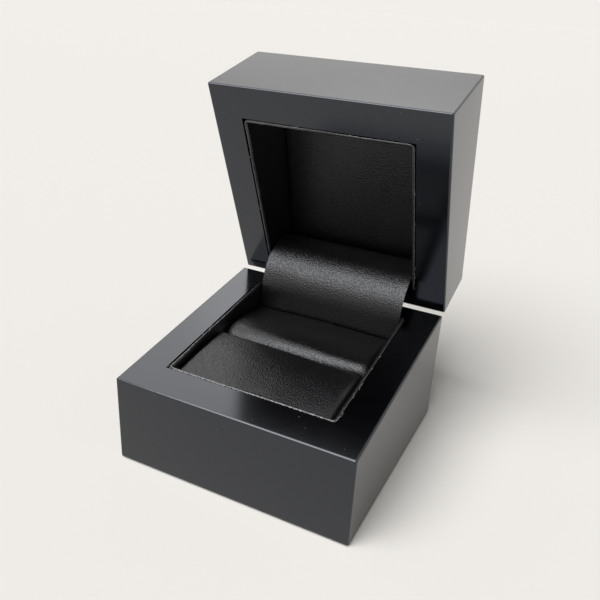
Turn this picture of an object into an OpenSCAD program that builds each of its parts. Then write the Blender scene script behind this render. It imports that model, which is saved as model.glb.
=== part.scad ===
// Ring display box: lacquered base and lid on a snap hinge, leatherette lining and a slotted ring cushion.
// The lid is drawn shut and then swung open about the hinge pin. The origin is the centre of the underside.

/* [Box] */
// Width of the box, left to right
box_w = 75; // [64:1:110]
// Depth of the box, front to back
box_d = 72; // [62:1:110]
// Height of the shut box
box_h = 59; // [54:1:80]
// Height of the base at its front face
base_front_h = 28; // [26:1:34]
// Height of the base at its rear face
base_rear_h = 38; // [35:0.5:41]
// Radius of the lacquered edges
edge_r = 0.6; // [0.5:0.1:1.5]
// Gap between the mating faces when the box is shut
closing_gap = 0.1; // [0.05:0.05:0.3]

/* [Walls] */
// Thickness of the two side walls
side_wall = 10; // [8:0.5:14]
// Thickness of the front walls
front_wall = 10.4; // [8:0.2:14]
// Thickness of the rear walls, which carry the hinge
rear_wall = 7.2; // [6.8:0.2:9]
// Thickness of the lid's top board
lid_top_t = 4; // [3:0.5:6]
// Thickness of the floor board
floor_t = 4; // [3:0.5:6]
// Width of the rebate that the floor board is glued into
floor_rebate = 3; // [2:0.5:5]
// Gap round a glued board or card
glue_gap = 0.1; // [0.05:0.05:0.2]
// Thickness of the felt under the box
felt_t = 0.8; // [0.5:0.1:1.5]
// How far the felt stands out of its recess
felt_proud = 0.3; // [0.1:0.1:0.5]
// Distance from the box's faces to the felt
felt_inset = 3; // [2:0.5:6]
// Corner radius of the felt
felt_corner_r = 3; // [1:0.5:6]

/* [Lining] */
// Thickness of the card inside the liners
card_t = 0.6; // [0.4:0.1:1]
// Thickness of the leatherette
skin_t = 0.35; // [0.2:0.05:0.6]
// How much fatter the rolled edge is than the liner, on each side
roll_swell = 0.05; // [0.02:0.01:0.09]
// Depth of the rolled edge below the mating face
roll_drop = 0.15; // [0.1:0.05:0.5]
// Outer radius of the liners' corners
liner_corner_r = 1.8; // [1.6:0.1:4]
// Width of the leatherette turned over behind the card
turn_in = 4; // [2:0.5:8]
// Thickness of the card behind the ceiling panel
ceiling_card_t = 0.8; // [0.5:0.1:1.5]
// Thickness of the padded ceiling panel
ceiling_t = 0.9; // [0.6:0.1:2]
// Gap round the ceiling panel
ceiling_fit = 0.2; // [0.1:0.05:0.5]
// Corner radius of the ceiling panel
ceiling_corner_r = 1.5; // [0.8:0.1:3]

/* [Ring cushion] */
// Height of the front pad at its middle
front_pad_h = 9; // [6:0.5:11]
// Height of the rear pad at its roll
rear_pad_h = 9.8; // [6:0.5:12]
// Depth of the cushion's top below the front of the mating face, as the front pad's crest
cushion_drop = 0.2; // [0:0.1:3]
// Place of the ring slot, behind the middle of the box
slot_y = 2; // [-4:0.5:6]
// Gap between the pads at the slot
slot_gap = 0.3; // [0.2:0.1:1]
// Gap between a pad and the lining
pad_fit = 0.5; // [0.3:0.1:1]
// Height of a pad's crown
pad_crown = 0.5; // [0:0.1:1.5]
// How far a pad's sides are drawn in between its corners
pad_draw = 0.3; // [0:0.1:1]
// Radius of a pad's corners at the lining, seen from above
pad_corner_r = 1.6; // [1:0.1:3]
// Radius of a pad's corners at the slot, seen from above
slot_corner_r = 0.5; // [0.3:0.1:3]
// Radius of a pad's top edges at the lining
pad_edge_r = 1.6; // [0.8:0.1:3]
// Radius of the front pad's edge at the slot
front_slot_r = 2.4; // [1:0.1:5]
// Radius of the rear pad's roll at the slot
rear_slot_r = 5.5; // [2:0.1:6]
// Thickness of the board under the pads
cushion_board_t = 1.2; // [0.8:0.1:2]

/* [Hinge strip] */
// Gap between the strip's edges and the lining
strip_side = 0.6; // [0.3:0.1:2]
// Thickness of the strip
strip_t = 0.5; // [0.3:0.05:0.8]
// Length of strip glued to the base's rear wall
strip_glued = 10; // [6:0.5:12]
// Distance below the rim at which the strip leaves the wall
strip_free = 2.3; // [1:0.1:4]
// Thickness of the glue behind the strip
strip_glue = 0.2; // [0.1:0.05:0.4]
// Gap between the strip and what it meets in the lid
strip_clear = 0.3; // [0.2:0.05:0.5]

/* [Hinge] */
// Angle that the lid swings from shut to open
open_angle = 76.5; // [65:0.5:85]
// Distance of the pin behind the rear face
pivot_back = 1; // [0.8:0.1:1.2]
// Distance of the pin below the base's rear edge
pivot_drop = 1.5; // [1.4:0.1:1.8]
// Width of the hinge
hinge_w = 36; // [32:1:44]
// Thickness of the leaves
leaf_t = 0.8; // [0.6:0.05:0.85]
// Length of each leaf along the inside of the rear wall
leaf_len = 12; // [10:0.5:13]
// Inner radius of the bends in the leaves
leaf_bend_r = 0.8; // [0.4:0.1:1.2]
// Radius of the hinge pin
pin_r = 0.6; // [0.5:0.05:0.65]
// Radial clearance of the knuckles on the pin
pin_fit = 0.05; // [0.03:0.01:0.08]
// Radius of the pin's peened ends
pin_head_r = 1; // [0.8:0.1:1.2]
// Thickness of the pin's peened ends
pin_head_t = 0.4; // [0.3:0.1:0.6]
// Width of each outer knuckle
outer_knuckle_w = 6; // [4:0.5:7]
// Width of the cam in the middle
cam_w = 9; // [8:0.5:10]
// Gap between neighbouring knuckles
knuckle_gap = 0.2; // [0.1:0.05:0.4]
// Distance from the pin's axis to the cam's flats
cam_flat = 1.4; // [1.35:0.05:1.5]
// Radius of the cam
cam_r = 1.75; // [1.6:0.05:1.8]
// Reach of the stop toes from the pin's axis
toe_reach = 2.35; // [2.2:0.05:2.4]
// Distance from the pin's axis to the edge of a leaf between its knuckles
leaf_edge = 2; // [1.9:0.05:2.1]
// Clearance of moving metal from metal and wood
swing_clear = 0.2; // [0.15:0.05:0.3]
// Gap at a stop, and between the cam and its spring
touch_gap = 0.03; // [0.02:0.01:0.05]
// Gap between a leaf and the wood that it is let into
let_in_gap = 0.05; // [0.02:0.01:0.1]

/* [Spring] */
// Thickness of the spring
spring_t = 0.3; // [0.2:0.05:0.4]
// Width of the spring
spring_w = 8; // [7:0.5:8]
// Distance from the pin's axis to the spring's riveted end
spring_len = 6.4; // [6:0.1:6.6]
// Distance from the pin's axis to the rivets
rivet_back = 5.2; // [4.8:0.1:5.4]
// Distance between the two rivets
rivet_pitch = 4.6; // [4:0.2:5]
// Radius of a rivet
rivet_r = 0.5; // [0.4:0.05:0.6]
// Radius of a rivet's head
rivet_head_r = 0.9; // [0.8:0.05:1]

/* [Screws] */
// Radius of a screw's shank
screw_r = 0.8; // [0.6:0.05:1]
// Radius of a screw's head
screw_head_r = 1.5; // [1.3:0.1:1.7]
// Length of a screw
screw_len = 5.5; // [4:0.5:6]
// Distance between the two screws of a leaf
screw_pitch = 24; // [18:1:28]
// Distance from the mating face to the screws
screw_down = 7; // [6:0.5:8]
// Gap round a rivet or screw in its hole
hole_gap = 0.02; // [0.01:0.01:0.05]

/* [Hidden] */

// Finishes
lacquer = [0.07, 0.07, 0.075];
leatherette = [0.06, 0.06, 0.065];
bare_board = [0.55, 0.45, 0.34];
grey_card = [0.45, 0.44, 0.42];
felt = [0.05, 0.05, 0.055];
foam = [0.8, 0.8, 0.76];
nickel = [0.72, 0.72, 0.7];

// Smoothness of round parts
round_steps = 48;
edge_steps = 5;
bend_steps = 6;
strip_steps = 24;

// The tightest corner of an inner layer
least_corner_r = 0.3;

// Far more than any part reaches, for cutting with a plane
far = 3 * (box_w + box_d + box_h);
// How far a cut runs past the face that it opens
past = 1;

// The slanted parting plane
rim_angle = atan((base_rear_h - base_front_h) / box_d);
function rim_z(y) = base_front_h + (y + box_d / 2) * tan(rim_angle);
along = [cos(rim_angle), sin(rim_angle)];
square_to = [-sin(rim_angle), cos(rim_angle)];

// The cavity, seen from above
cavity_x = box_w / 2 - side_wall;
cavity_front = front_wall - box_d / 2;
cavity_rear = box_d / 2 - rear_wall;

// The liner's thickness and the space inside it
liner_t = card_t + 2 * skin_t;
lined_x = cavity_x - glue_gap - liner_t;
lined_front = cavity_front + glue_gap + liner_t;
roll_r = liner_t / 2 + roll_swell;
roll_depth = roll_drop + roll_r;

// Levels in the base and in the shut lid
floor_z = felt_t + floor_t;
lid_top_z = box_h - lid_top_t;
ceiling_z = lid_top_z - ceiling_card_t - ceiling_t;

// The cushion
cushion_z = rim_z(lined_front) - cushion_drop - front_pad_h;
riser_top = cushion_z - cushion_board_t;
cushion_x = lined_x - pad_fit;
cushion_front_y = lined_front + pad_fit;
cushion_rear_y = cavity_rear - strip_glue - strip_t - pad_fit;

// The hinge pin's axis, and points given along the parting plane and square to it from there
pivot = [box_d / 2 + pivot_back, base_rear_h - pivot_drop];
function from_pin(back, up) = pivot + back * along + up * square_to;
barrel_r = pin_r + pin_fit + leaf_t;
bore_r = pin_r + pin_fit;
plane_up = pivot_drop * cos(rim_angle) + pivot_back * sin(rim_angle);
notch_r = toe_reach + swing_clear;
base_run_up = barrel_r - leaf_t / 2;
lid_run_up = plane_up + closing_gap + let_in_gap + leaf_t / 2;
limb_y = cavity_rear + leaf_t / 2;
crank_start = 0.2;
spring_down = cam_flat + touch_gap + spring_t / 2;
spring_up = base_run_up - leaf_t / 2 - spring_t / 2;
mortise_w = hinge_w + 2 * (pin_head_t + swing_clear);
leaf_low = rim_z(cavity_rear) - leaf_len;
leaf_high = rim_z(cavity_rear) + leaf_len;
screw_low = rim_z(cavity_rear) - screw_down;
screw_high = rim_z(cavity_rear) + screw_down;
cam_side = cam_w / 2;
inner_side = hinge_w / 2 - outer_knuckle_w - knuckle_gap;

// The strip's path: up the wall, then one bend into the corner between the lid's rear wall and ceiling
strip_w = 2 * (lined_x - strip_side);
strip_y = cavity_rear - strip_glue - strip_t / 2;
strip_leaves = rim_z(cavity_rear) - strip_free;
strip_end = swung([cavity_rear - strip_clear - strip_t / 2, ceiling_z - strip_clear - strip_t]);
strip_run = strip_end - [strip_y, strip_leaves];
strip_bend = (strip_run.x * strip_run.x + strip_run.y * strip_run.y) / (2 * strip_run.x);
strip_turn = 90 + atan2(strip_run.x - strip_bend, strip_run.y);

// A point of the shut lid, as [y, z], where it lies when the lid is open
function swung(p) = pivot + [
    cos(open_angle) * (p.x - pivot.x) + sin(open_angle) * (p.y - pivot.y),
    cos(open_angle) * (p.y - pivot.y) - sin(open_angle) * (p.x - pivot.x)];

// Points on an arc round a centre
function arc(centre, r, from, to, steps) =
    [for (i = [0:steps]) let (a = from + (to - from) * i / steps) centre + r * [cos(a), sin(a)]];

// A path with its inner corners rounded to radius r
function unit(v) = v / norm(v);
function rounded_path(p, r) = [for (i = [0:len(p) - 1])
    each (i == 0 || i == len(p) - 1) ? [p[i]] : bend(p[i - 1], p[i], p[i + 1], r)];
function bend(a, b, c, r) =
    let (
        u = unit(a - b),
        v = unit(c - b),
        half = acos(u * v) / 2,
        centre = b + unit(u + v) * r / sin(half),
        start = b + u * r / tan(half) - centre,
        end = b + v * r / tan(half) - centre,
        side = sign(start.x * end.y - start.y * end.x),
        a0 = atan2(start.y, start.x))
    arc(centre, r, a0, a0 + side * (180 - 2 * half), bend_steps);

// The outline of a strip of thickness t along a path
function normal_at(p, i) =
    let (d = unit(p[min(i + 1, len(p) - 1)] - p[max(i - 1, 0)])) [-d.y, d.x];
function strip_outline(p, t) = concat(
    [for (i = [0:len(p) - 1]) p[i] + normal_at(p, i) * t / 2],
    [for (i = [len(p) - 1:-1:0]) p[i] - normal_at(p, i) * t / 2]);

// Extrudes an outline drawn as [y, z] along X, from x0 to x1
module across(x0, x1) {
    translate([x0, 0, 0])
        rotate([90, 0, 90])
            linear_extrude(x1 - x0)
                children();
}

// Swings the shut lid open
module swing_open() {
    translate([0, pivot.x, pivot.y])
        rotate([-open_angle, 0, 0])
            translate([0, -pivot.x, -pivot.y])
                children();
}

// Puts a shape in the parting plane, with its Y along the slope from the box's front face
module on_rim(up = 0) {
    translate([0, -box_d / 2, base_front_h])
        rotate([rim_angle, 0, 0])
            translate([0, 0, up])
                children();
}

module below_rim(up) {
    on_rim(up)
        translate([-far / 2, -far / 2, -far])
            cube(far);
}

module above_rim(up) {
    on_rim(up)
        translate([-far / 2, -far / 2, 0])
            cube(far);
}

// The corners of a rectangle, anticlockwise from above
corners = [[1, 1], [-1, 1], [-1, -1], [1, -1]];

// A direction turned part of the way to another
function turned(from, to, part) =
    let (whole = acos(from * to))
    (sin((1 - part) * whole) * from + sin(part * whole) * to) / sin(whole);

// A block with every edge rounded. Each of its two end faces is given by the level of the
// edge centres at the front and at the rear, and may slope.
module rounded_block(low, high) {
    x = box_w / 2 - edge_r;
    y = box_d / 2 - edge_r;
    function square_off(ends, way) = unit([0, -way * (ends[1] - ends[0]) / (2 * y), way]);
    function edge_centre(ends, c) =
        [corners[c].x * x, corners[c].y * y, ends[corners[c].y > 0 ? 1 : 0]];
    function ring(ends, way, part) = [for (c = [0:3], i = [0:edge_steps])
        let (a = 90 * (c + i / edge_steps))
        edge_centre(ends, c) + edge_r * turned([cos(a), sin(a), 0], square_off(ends, way), part)];
    function tips(ends, way) = [for (c = [0:3]) edge_centre(ends, c) + edge_r * square_off(ends, way)];
    rings = concat(
        [for (k = [edge_steps - 1:-1:0]) ring(low, -1, k / edge_steps)],
        [for (k = [0:edge_steps - 1]) ring(high, 1, k / edge_steps)]);
    n = len(rings[0]);
    last = (len(rings) - 1) * n;
    low_tip = len(rings) * n;
    high_tip = low_tip + 4;
    run = edge_steps + 1;
    polyhedron(concat([for (ring = rings, p = ring) p], tips(low, -1), tips(high, 1)), concat(
        [for (k = [0:len(rings) - 2], i = [0:n - 1], half = [0, 1])
            let (a0 = k * n + i, a1 = k * n + (i + 1) % n)
                half == 0 ? [a0, a0 + n, a1 + n] : [a0, a1 + n, a1]],
        [for (c = [0:3], i = [0:edge_steps - 1]) [low_tip + c, c * run + i, c * run + i + 1]],
        [for (c = [0:3], i = [0:edge_steps - 1])
            [high_tip + c, last + c * run + i + 1, last + c * run + i]],
        [for (c = [0:3]) let (next = (c + 1) % 4)
            [low_tip + c, c * run + edge_steps, next * run, low_tip + next]],
        [for (c = [0:3]) let (next = (c + 1) % 4)
            [high_tip + next, last + next * run, last + c * run + edge_steps, high_tip + c]],
        [[for (c = [0:3]) low_tip + c]],
        [[for (c = [3:-1:0]) high_tip + c]]));
}

// A rounded rectangle between two corners
module rounded_plan(low, high, r) {
    for (i = [0, 1])
        translate(i == 0 ? [low.x + r, low.y] : [low.x, low.y + r])
            square(i == 0 ? [high.x - low.x - 2 * r, high.y - low.y] : [high.x - low.x, high.y - low.y - 2 * r]);
    for (x = [low.x + r, high.x - r], y = [low.y + r, high.y - r])
        translate([x, y])
            circle(r, $fn = round_steps);
}

// Base

module cavity(z0, z1) {
    translate([-cavity_x, cavity_front, z0])
        cube([2 * cavity_x, cavity_rear - cavity_front, z1 - z0]);
}

// Room for the base leaf, the barrel with its stop toes, and the spring
module base_mortise() {
    run_bottom = from_pin(0, base_run_up - leaf_t / 2 - let_in_gap);
    across(-mortise_w / 2, mortise_w / 2) {
        translate(run_bottom)
            rotate(rim_angle)
                translate([-far, 0])
                    square([2 * far, far]);
    }
    across(-hinge_w / 2 - let_in_gap, hinge_w / 2 + let_in_gap)
        base_leaf_outline(leaf_edge, let_in_gap);
    translate([-hinge_w / 2 - let_in_gap, cavity_rear - past, leaf_low - let_in_gap])
        cube([hinge_w + 2 * let_in_gap, past + leaf_t / 2, leaf_len]);
    across(-mortise_w / 2, mortise_w / 2)
        translate(pivot)
            circle(notch_r, $fn = round_steps);
    across(-spring_w / 2 - swing_clear, spring_w / 2 + swing_clear)
        translate(pivot)
            rotate(rim_angle)
                translate([-spring_len - swing_clear, -spring_down - spring_t - swing_clear])
                    square([far, far]);
}

module base_shell() {
    slope_edge = edge_r / cos(rim_angle);
    color(lacquer)
        difference() {
            rounded_block(
                [felt_proud + edge_r, felt_proud + edge_r],
                [rim_z(edge_r - box_d / 2) - slope_edge, rim_z(box_d / 2 - edge_r) - slope_edge]);
            cavity(-past, box_h);
            translate([-cavity_x - floor_rebate, cavity_front - floor_rebate, -past])
                cube([2 * (cavity_x + floor_rebate),
                    cavity_rear - cavity_front + 2 * floor_rebate, floor_z + past]);
            translate([0, 0, -past])
                linear_extrude(felt_t + past)
                    felt_plan(felt_inset - glue_gap);
            intersection() {
                base_mortise();
                translate([-box_w / 2, cavity_rear - past, 0])
                    cube([box_w, far, far]);
            }
            screw_pair(screw_low)
                pilot_hole();
        }
}

module base_floor() {
    color(bare_board)
        translate([-cavity_x - floor_rebate + glue_gap, cavity_front - floor_rebate + glue_gap, felt_t])
            cube([2 * (cavity_x + floor_rebate - glue_gap),
                cavity_rear - cavity_front + 2 * (floor_rebate - glue_gap), floor_t]);
}

module felt_plan(inset) {
    corner = [box_w / 2 - inset, box_d / 2 - inset];
    rounded_plan(-corner, corner, felt_corner_r);
}

module base_felt() {
    color(felt)
        linear_extrude(felt_t)
            felt_plan(felt_inset);
}

// Lining

// The liners follow the front and both sides, and stop at the rear wall, which the hinge strip covers
module liner_band(depth0, depth1, z0, z1) {
    translate([0, 0, z0])
        linear_extrude(z1 - z0)
            intersection() {
                difference() {
                    liner_plan(depth0);
                    liner_plan(depth1);
                }
                translate([-cavity_x, -box_d])
                    square([2 * cavity_x, box_d + cavity_rear - glue_gap]);
            }
}

module liner_plan(depth) {
    inset = glue_gap + depth;
    rounded_plan([inset - cavity_x, cavity_front + inset], [cavity_x - inset, box_d],
        max(liner_corner_r - depth, least_corner_r));
}

// The rolled edge: a rod along both sides and the front, in the parting plane
module rolled_edge(up) {
    x = cavity_x - glue_gap - liner_t / 2;
    lean = up * sin(rim_angle);
    front = (front_wall + glue_gap + liner_t / 2 + lean) / cos(rim_angle);
    rear = (box_d - rear_wall - glue_gap + lean) / cos(rim_angle);
    bend_r = liner_corner_r - liner_t / 2;
    on_rim(up) {
        for (side = [-1, 1]) {
            translate([side * x, front + bend_r, 0])
                rotate([-90, 0, 0])
                    cylinder(r = roll_r, h = rear - front - bend_r, $fn = round_steps);
            translate([side * (x - bend_r), front + bend_r, 0])
                rotate([0, 0, side == 1 ? -90 : 180])
                    rotate_extrude(angle = 90, $fn = round_steps)
                        translate([bend_r, 0])
                            circle(roll_r, $fn = round_steps);
        }
        translate([bend_r - x, front, 0])
            rotate([0, 90, 0])
                cylinder(r = roll_r, h = 2 * (x - bend_r), $fn = round_steps);
    }
}

module base_card_shape() {
    intersection() {
        liner_band(skin_t, skin_t + card_t, floor_z, box_h);
        below_rim(-roll_depth);
    }
}

module base_liner_card() {
    color(grey_card)
        base_card_shape();
}

module base_liner() {
    color(leatherette)
        difference() {
            union() {
                intersection() {
                    liner_band(skin_t + card_t, liner_t, floor_z, box_h);
                    below_rim(-roll_depth);
                }
                intersection() {
                    liner_band(0, skin_t, floor_z, box_h);
                    below_rim(-roll_depth);
                    above_rim(-roll_depth - turn_in);
                }
                rolled_edge(-roll_depth);
            }
            base_card_shape();
        }
}

// Ring cushion

module cushion_riser() {
    color(foam)
        translate([-cushion_x, cushion_front_y, floor_z])
            cube([2 * cushion_x, cushion_rear_y - cushion_front_y, riser_top - floor_z]);
}

module cushion_board() {
    color(grey_card)
        translate([-cushion_x, cushion_front_y, riser_top])
            cube([2 * cushion_x, cushion_rear_y - cushion_front_y, cushion_board_t]);
}

// How finely a pad is drawn, and how far in its rings of points lie, as parts of its largest edge radius
corner_steps = 4;
side_steps = 8;
ring_places = [0, 0.03, 0.1, 0.2, 0.32, 0.46, 0.62, 0.8, 1];

// One ring of points round a pad: a rectangle with a radius for each corner, and points along its sides too
function corner_arc(a, b, r, c) =
    arc([corners[c].x * (a - r), corners[c].y * (b - r)], r, 90 * c, 90 * (c + 1), corner_steps);
function pad_ring(a, b, radii) = [for (c = [0:3])
    let (
        after = (c + 1) % 4,
        this = corner_arc(a, b, radii[c], c),
        next = corner_arc(a, b, radii[after], after)[0],
        last = this[corner_steps])
    each concat(this, [for (i = [1:side_steps - 1]) last + (next - last) * i / side_steps])];

// How far a top edge of radius r has dropped at a distance from the side
function edge_drop(distance, r) = distance >= r ? 0 : r - sqrt(max(0, r * r - (r - distance) * (r - distance)));

// A crowned pad on a flat underside, between y0 and y1, with its own edge and corner radius at each end
module pad(y0, y1, h, front_r, rear_r, front_corner, rear_corner) {
    a = cushion_x;
    b = (y1 - y0) / 2;
    middle = (y0 + y1) / 2;
    insets = ring_places * max(front_r, rear_r);
    radii = [rear_corner, rear_corner, front_corner, front_corner];
    rings = [for (d = insets) pad_ring(a - d, b - d, [for (r = radii) max(r - d, least_corner_r)])];
    function drawn(p) = [
        p.x * (1 - pad_draw / a * (1 - pow(p.y / b, 2))),
        middle + p.y];
    function top(p) = h - pad_crown * (pow(p.x / a, 2) + pow(p.y / b, 2)) / 2
        - edge_drop(a - abs(p.x), pad_edge_r)
        - edge_drop(b + p.y, front_r)
        - edge_drop(b - p.y, rear_r);
    n = len(rings[0]);
    levels = len(rings);
    points = concat(
        [for (p = rings[0]) [drawn(p).x, drawn(p).y, cushion_z]],
        [for (ring = rings, p = ring) [drawn(p).x, drawn(p).y, cushion_z + top(p)]],
        [[0, middle, cushion_z], [0, middle, cushion_z + top([0, 0])]]);
    low_centre = len(points) - 2;
    high_centre = len(points) - 1;
    polyhedron(points, concat(
        [for (k = [0:levels - 1], i = [0:n - 1], half = [0, 1])
            let (j = (i + 1) % n, a0 = k * n + i, a1 = k * n + j, b0 = a0 + n, b1 = a1 + n)
                half == 0 ? [a0, b0, b1] : [a0, b1, a1]],
        [for (i = [0:n - 1]) [low_centre, i, (i + 1) % n]],
        [for (i = [0:n - 1]) [high_centre, levels * n + (i + 1) % n, levels * n + i]]));
}

module cushion_front() {
    color(leatherette)
        pad(cushion_front_y, slot_y - slot_gap / 2, front_pad_h,
            pad_edge_r, front_slot_r, pad_corner_r, slot_corner_r);
}

module cushion_rear() {
    color(leatherette)
        pad(slot_y + slot_gap / 2, cushion_rear_y, rear_pad_h,
            rear_slot_r, pad_edge_r, slot_corner_r, pad_corner_r);
}

// Hinge

// Repeats a part at the two screws of a leaf, at a height, with its Z along the screw
module screw_pair(z) {
    for (x = [-1, 1])
        translate([x * screw_pitch / 2, cavity_rear, z])
            rotate([-90, 0, 0])
                children();
}

// A countersunk screw, from its flush head inwards, grown by a gap
module screw_shape(gap) {
    cylinder(r1 = screw_head_r + gap, r2 = screw_r + gap, h = screw_head_r - screw_r, $fn = round_steps);
    cylinder(r = screw_r + gap, h = screw_len - screw_r + gap, $fn = round_steps);
    translate([0, 0, screw_len - screw_r + gap])
        cylinder(r1 = screw_r + gap, r2 = screw_r / 4, h = screw_r, $fn = round_steps);
}

module pilot_hole() {
    screw_shape(hole_gap);
}

module driven_screw() {
    slot = screw_r / 2;
    difference() {
        screw_shape(0);
        translate([-screw_head_r, -slot / 2, -past])
            cube([2 * screw_head_r, slot, past + slot / 2]);
    }
}

module base_screws() {
    color(nickel)
        screw_pair(screw_low)
            driven_screw();
}

// Repeats a shape at both ends of the hinge, as a band of x
module band_pair(x0, x1) {
    across(x0, x1)
        children();
    across(-x1, -x0)
        children();
}

module bore() {
    across(-hinge_w, hinge_w)
        translate(pivot)
            circle(bore_r, $fn = round_steps);
}

module knuckle() {
    translate(pivot)
        circle(barrel_r, $fn = round_steps);
}

// A leaf's outline, grown by a gap: from the top of the barrel along the rim, then along the inside
// of the rear wall
module base_leaf_outline(start, gap = 0) {
    corner = from_pin(0, base_run_up) + along * (limb_y - from_pin(0, base_run_up).x) / along.x;
    polygon(strip_outline(rounded_path(
        [from_pin(-start, base_run_up), corner, [limb_y, leaf_low - gap]],
        leaf_bend_r + leaf_t / 2), leaf_t + 2 * gap));
}

module lid_leaf_outline(start, gap = 0) {
    corner = from_pin(0, lid_run_up) + along * (limb_y - from_pin(0, lid_run_up).x) / along.x;
    polygon(strip_outline(rounded_path(
        [from_pin(-start, lid_run_up), corner, [limb_y, leaf_high + gap]],
        leaf_bend_r + leaf_t / 2), leaf_t + 2 * gap));
}

// The crank that takes the lid leaf from its own level down to the barrel
module lid_crank() {
    polygon(strip_outline([
        from_pin(0, base_run_up),
        from_pin(-leaf_edge * crank_start, base_run_up),
        from_pin(-leaf_edge * (1 - crank_start), lid_run_up),
        from_pin(-leaf_edge - leaf_t, lid_run_up)], leaf_t));
}

module rivet_pair() {
    for (x = [-1, 1])
        translate([x * rivet_pitch / 2, from_pin(-rivet_back, base_run_up).x, from_pin(-rivet_back, base_run_up).y])
            rotate([rim_angle, 0, 0])
                children();
}

// A rivet from the leaf's upper face through the spring, grown by a gap
module rivet_shape(gap) {
    below = spring_t + (gap > 0 ? past : 0);
    translate([0, 0, -leaf_t / 2 - below])
        cylinder(r = rivet_r + gap, h = leaf_t + below, $fn = round_steps);
    translate([0, 0, leaf_t / 2 - (rivet_head_r - rivet_r)])
        cylinder(r1 = rivet_r + gap, r2 = rivet_head_r + gap, h = rivet_head_r - rivet_r, $fn = round_steps);
}

module hinge_base_leaf() {
    color(nickel)
        difference() {
            union() {
                across(-hinge_w / 2, hinge_w / 2)
                    base_leaf_outline(leaf_edge);
                band_pair(hinge_w / 2 - outer_knuckle_w, hinge_w / 2) {
                    base_leaf_outline(0);
                    knuckle();
                }
            }
            bore();
            screw_pair(screw_low)
                pilot_hole();
            rivet_pair()
                rivet_shape(hole_gap);
        }
}

module hinge_pin() {
    color(nickel)
        translate([0, pivot.x, pivot.y])
            rotate([0, 90, 0]) {
                translate([0, 0, -hinge_w / 2])
                    cylinder(r = pin_r, h = hinge_w, $fn = round_steps);
                for (end = [0, 1])
                    mirror([0, 0, end])
                        translate([0, 0, hinge_w / 2])
                            cylinder(r1 = pin_head_r, r2 = pin_head_r - pin_head_t / 2, h = pin_head_t, $fn = round_steps);
            }
}

module hinge_spring() {
    path = rounded_path([
        from_pin(-spring_len, spring_up),
        from_pin(-leaf_edge - 2 * spring_t, spring_up),
        from_pin(-cam_r, -spring_down),
        from_pin(cam_r, -spring_down)], 2 * spring_t);
    color(nickel)
        difference() {
            across(-spring_w / 2, spring_w / 2)
                polygon(strip_outline(path, spring_t));
            rivet_pair()
                rivet_shape(hole_gap);
        }
}

module hinge_rivets() {
    color(nickel)
        rivet_pair() {
            rivet_shape(0);
            translate([0, 0, -leaf_t / 2 - 2 * spring_t])
                cylinder(r1 = rivet_head_r - spring_t / 2, r2 = rivet_head_r, h = spring_t, $fn = round_steps);
        }
}

// The cam turns with the lid: one flat bears on the spring when the lid is shut, the other when it is open
module cam_outline() {
    translate(pivot)
        intersection() {
            circle(cam_r, $fn = round_steps);
            for_flat(rim_angle);
            for_flat(rim_angle + open_angle);
        }
}

// The half plane above a flat that faces down when the lid is turned by an angle
module for_flat(angle) {
    rotate(angle)
        translate([-far / 2, -cam_flat])
            square(far);
}

// A toe that meets the underside of the base leaf when the lid is open
module toe_outline() {
    top = base_run_up - leaf_t / 2 - touch_gap;
    translate(pivot)
        rotate(rim_angle + open_angle)
            translate([-toe_reach, top - leaf_t])
                square([toe_reach, leaf_t]);
}

module hinge_lid_leaf() {
    color(nickel)
        swing_open()
            difference() {
                union() {
                    across(-hinge_w / 2, hinge_w / 2)
                        lid_leaf_outline(leaf_edge);
                    band_pair(cam_side + knuckle_gap, inner_side) {
                        lid_crank();
                        knuckle();
                        toe_outline();
                    }
                    across(-cam_side, cam_side) {
                        lid_crank();
                        cam_outline();
                    }
                }
                bore();
                screw_pair(screw_high)
                    pilot_hole();
            }
}

// The strip is drawn as it lies when the lid is open
module hinge_strip() {
    bend_path = arc([strip_y + strip_bend, strip_leaves], strip_bend, 180, 180 - strip_turn, strip_steps);
    color(leatherette)
        across(-strip_w / 2, strip_w / 2)
            polygon(strip_outline(concat([[strip_y, strip_leaves - strip_glued]], bend_path), strip_t));
}

// Lid

// Room in the lid for its leaf
module lid_mortise() {
    across(-mortise_w / 2, mortise_w / 2)
        translate(from_pin(0, lid_run_up + leaf_t / 2 + let_in_gap))
            rotate(rim_angle)
                translate([-far, -far])
                    square([2 * far, far]);
    across(-hinge_w / 2 - let_in_gap, hinge_w / 2 + let_in_gap)
        lid_leaf_outline(leaf_edge, let_in_gap);
    translate([-hinge_w / 2 - let_in_gap, cavity_rear - past, leaf_high + let_in_gap - leaf_len])
        cube([hinge_w + 2 * let_in_gap, past + leaf_t / 2, leaf_len]);
}

module lid_shell() {
    slope_edge = edge_r / cos(rim_angle) + closing_gap;
    color(lacquer)
        swing_open()
            difference() {
                rounded_block(
                    [rim_z(edge_r - box_d / 2) + slope_edge, rim_z(box_d / 2 - edge_r) + slope_edge],
                    [box_h - edge_r, box_h - edge_r]);
                cavity(0, lid_top_z);
                intersection() {
                    lid_mortise();
                    translate([-box_w / 2, cavity_rear - past, 0])
                        cube([box_w, far, far]);
                }
                screw_pair(screw_high)
                    pilot_hole();
            }
}

module lid_card_shape() {
    intersection() {
        liner_band(skin_t, skin_t + card_t, 0, lid_top_z);
        above_rim(closing_gap + roll_depth);
    }
}

module lid_liner_card() {
    color(grey_card)
        swing_open()
            lid_card_shape();
}

module lid_liner() {
    color(leatherette)
        swing_open()
            difference() {
                union() {
                    intersection() {
                        liner_band(skin_t + card_t, liner_t, 0, lid_top_z);
                        above_rim(closing_gap + roll_depth);
                    }
                    intersection() {
                        liner_band(0, skin_t, 0, lid_top_z);
                        above_rim(closing_gap + roll_depth);
                        below_rim(closing_gap + roll_depth + turn_in);
                    }
                    rolled_edge(closing_gap + roll_depth);
                }
                lid_card_shape();
            }
}

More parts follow.
